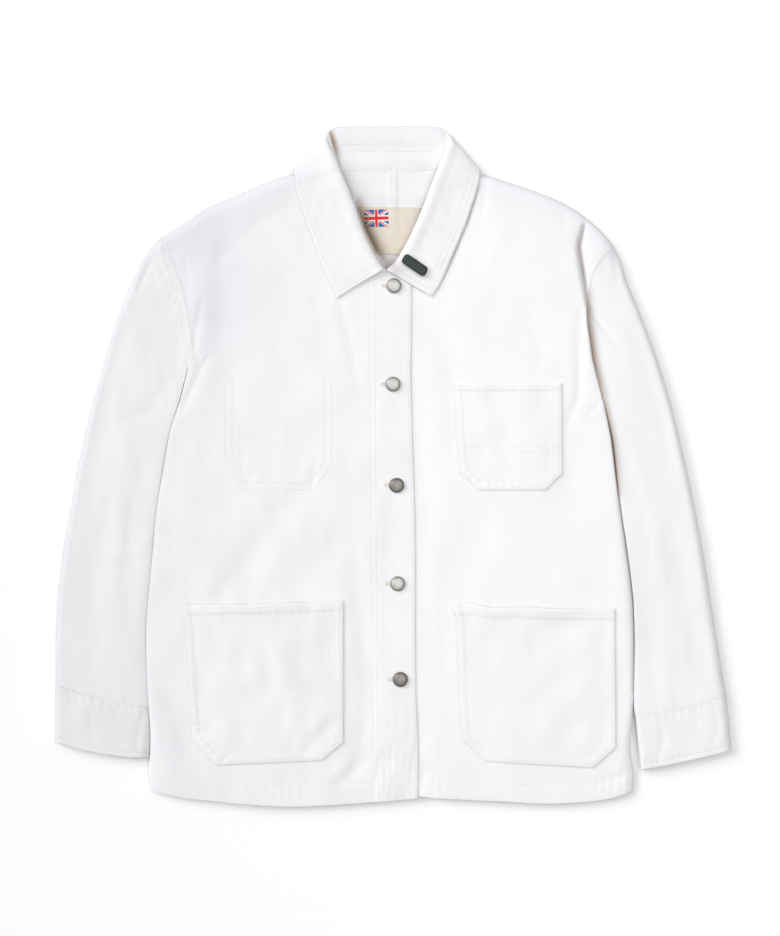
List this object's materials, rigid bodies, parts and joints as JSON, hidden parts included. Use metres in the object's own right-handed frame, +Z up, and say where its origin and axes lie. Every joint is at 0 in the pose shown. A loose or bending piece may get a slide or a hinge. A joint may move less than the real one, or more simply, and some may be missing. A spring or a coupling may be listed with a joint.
{
  "type": "work jacket",
  "caption": "White cotton twill work jacket laid flat, buttoned, with a turned-down collar, set-in sleeves with cuffs, patch pockets and a small pin on the collar.",
  "frame": {"origin": "middle of the jacket's outline, on the surface that it lies on", "axes": "+X to the right as seen from above (the wearer's left), +Y from the hem to the collar, +Z up from the surface"},
  "size_m": [0.7456, 0.7492, 0.0198],
  "materials": {
    "cotton_twill": "matt white cotton twill",
    "button_metal": "dull nickel",
    "label_cloth": "cream woven label",
    "pin_enamel": "dark green enamel"
  },
  "bodies": {
    "root": {"front_right": "cotton_twill", "front_left": "cotton_twill", "back": "cotton_twill", "sleeve_right": "cotton_twill", "sleeve_left": "cotton_twill", "cuff_right": "cotton_twill", "cuff_left": "cotton_twill", "collar": "cotton_twill", "collar_stand": "cotton_twill", "pocket_lower_right": "cotton_twill", "pocket_lower_left": "cotton_twill", "pocket_chest": "cotton_twill", "pocket_inner": "cotton_twill", "button_1": "button_metal", "button_2": "button_metal", "button_3": "button_metal", "button_4": "button_metal", "button_5": "button_metal", "label": "label_cloth", "collar_pin": "pin_enamel"}
  },
  "joints": []
}
